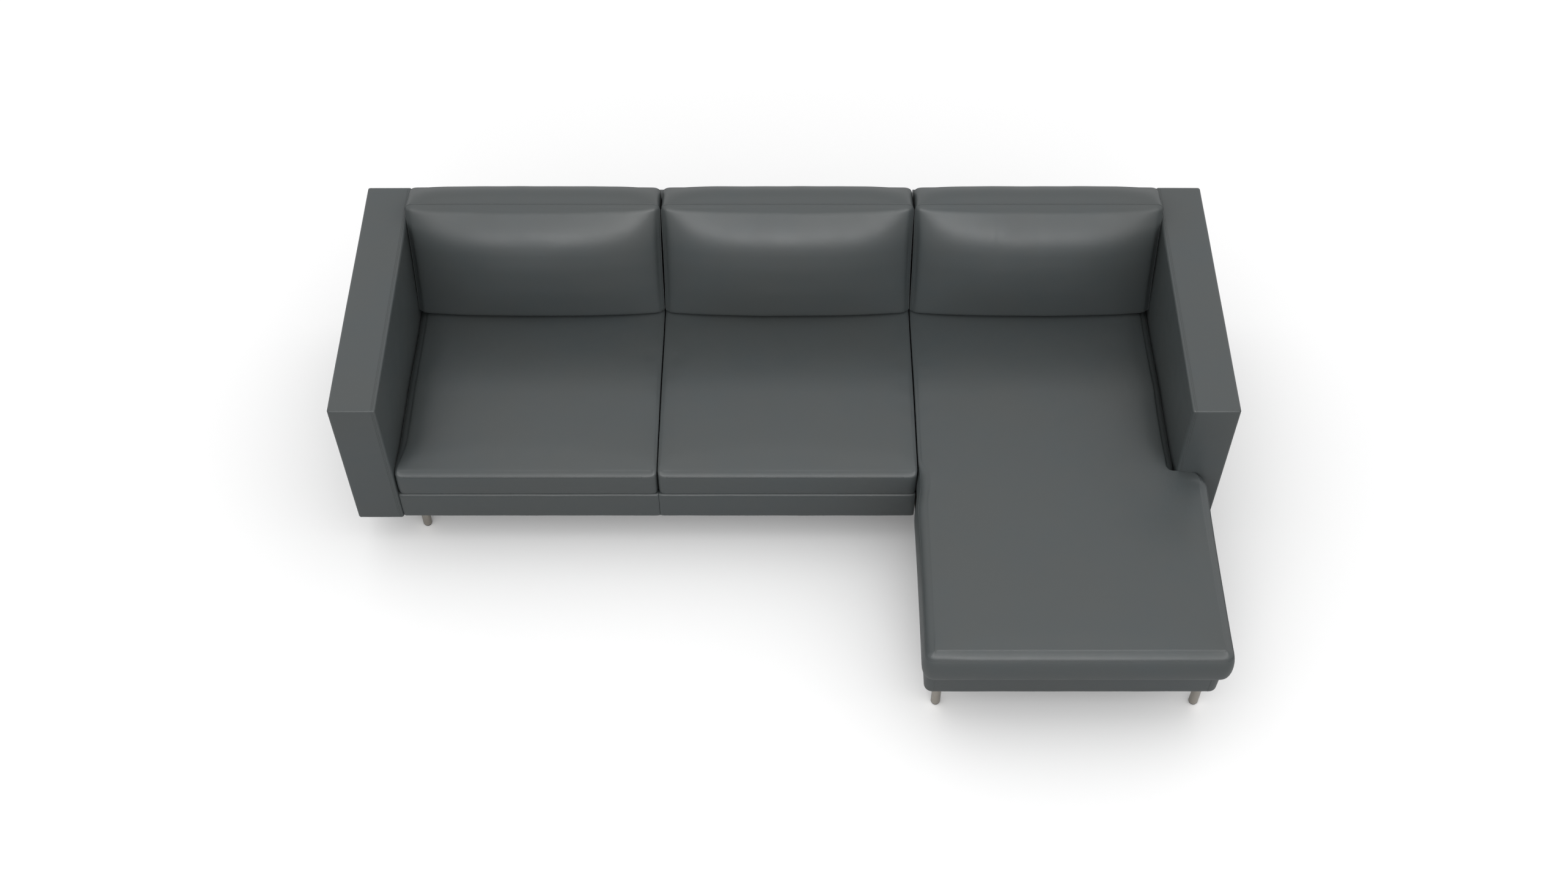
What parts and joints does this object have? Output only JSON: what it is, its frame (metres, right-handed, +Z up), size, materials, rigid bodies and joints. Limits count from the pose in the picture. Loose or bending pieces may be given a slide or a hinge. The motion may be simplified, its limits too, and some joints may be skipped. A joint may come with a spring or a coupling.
{
  "type": "sectional sofa with chaise",
  "caption": "Leather sectional sofa with a right-hand chaise: two hooked modules on slim metal legs, loose seat and back cushions.",
  "frame": {"origin": "bottom centre of the bounding box, on the floor", "axes": "+X along the back towards the chaise arm, +Y towards the back, +Z up"},
  "size_m": [2.667, 1.571, 0.7453],
  "materials": {
    "leather": "smooth dark grey semi-matte leather",
    "leg": "satin nickel",
    "steel": "black painted steel",
    "glide": "black nylon",
    "timber": "planed softwood",
    "plywood": "sanded plywood",
    "webbing": "woven elastic webbing",
    "dust_cloth": "black spunbond cloth",
    "foam": "upholstery foam and wadding"
  },
  "bodies": {
    "sofa_module": {"left_arm_boards": "timber", "left_arm_bolts": "steel", "left_arm_cover": "leather", "left_arm_padding": "foam", "left_arm_panels": "plywood", "left_arm_posts": "timber", "sofa_back_boards": "timber", "sofa_back_cover": "leather", "sofa_back_posts": "timber", "sofa_centre_stretcher": "timber", "sofa_connector_tongues": "steel", "sofa_deck_pad": "foam", "sofa_dust_cover": "dust_cloth", "sofa_front_cover_left": "leather", "sofa_front_cover_right": "leather", "sofa_front_left_leg": "leg", "sofa_front_rail": "timber", "sofa_front_right_leg": "leg", "sofa_leg_blocks": "timber", "sofa_leg_glides": "glide", "sofa_leg_plates": "steel", "sofa_rear_left_leg": "leg", "sofa_rear_rail": "timber", "sofa_rear_right_leg": "leg", "sofa_side_rails": "timber", "sofa_webbing": "webbing"},
    "chaise_module": {"chaise_back_boards": "timber", "chaise_back_cover": "leather", "chaise_back_posts": "timber", "chaise_base_cover": "leather", "chaise_blocks": "timber", "chaise_connector_sockets": "steel", "chaise_cross_rails": "timber", "chaise_deck_pad": "foam", "chaise_dust_cover": "dust_cloth", "chaise_front_left_leg": "leg", "chaise_front_rail": "timber", "chaise_front_right_leg": "leg", "chaise_leg_glides": "glide", "chaise_leg_plates": "steel", "chaise_rear_left_leg": "leg", "chaise_rear_right_leg": "leg", "chaise_side_rails": "timber", "chaise_webbing": "webbing", "right_arm_boards": "timber", "right_arm_bolts": "steel", "right_arm_cover": "leather", "right_arm_padding": "foam", "right_arm_panels": "plywood", "right_arm_posts": "timber"},
    "left_seat_cushion": {"left_seat_core": "foam", "left_seat_cover": "leather"},
    "right_seat_cushion": {"right_seat_core": "foam", "right_seat_cover": "leather"},
    "chaise_seat_cushion": {"chaise_cushion_core": "foam", "chaise_cushion_cover": "leather"},
    "left_back_pillow": {"left_back_cushion": "leather"},
    "middle_back_pillow": {"middle_back_cushion": "leather"},
    "right_back_pillow": {"right_back_cushion": "leather"}
  },
  "joints": [
    {"name": "chaise_module_lift", "type": "slide", "parent": "sofa_module", "child": "chaise_module", "axis": [0, 0, 1], "range_m": [0, 0.06]},
    {"name": "left_seat_lift", "type": "slide", "parent": "sofa_module", "child": "left_seat_cushion", "axis": [0, 0, 1], "range_m": [0, 0.45]},
    {"name": "right_seat_lift", "type": "slide", "parent": "sofa_module", "child": "right_seat_cushion", "axis": [0, 0, 1], "range_m": [0, 0.45]},
    {"name": "chaise_seat_lift", "type": "slide", "parent": "chaise_module", "child": "chaise_seat_cushion", "axis": [0, 0, 1], "range_m": [0, 0.45]},
    {"name": "left_back_lift", "type": "slide", "parent": "left_seat_cushion", "child": "left_back_pillow", "axis": [0, 0, 1], "range_m": [0, 0.4]},
    {"name": "middle_back_lift", "type": "slide", "parent": "right_seat_cushion", "child": "middle_back_pillow", "axis": [0, 0, 1], "range_m": [0, 0.4]},
    {"name": "right_back_lift", "type": "slide", "parent": "chaise_seat_cushion", "child": "right_back_pillow", "axis": [0, 0, 1], "range_m": [0, 0.4]}
  ]
}
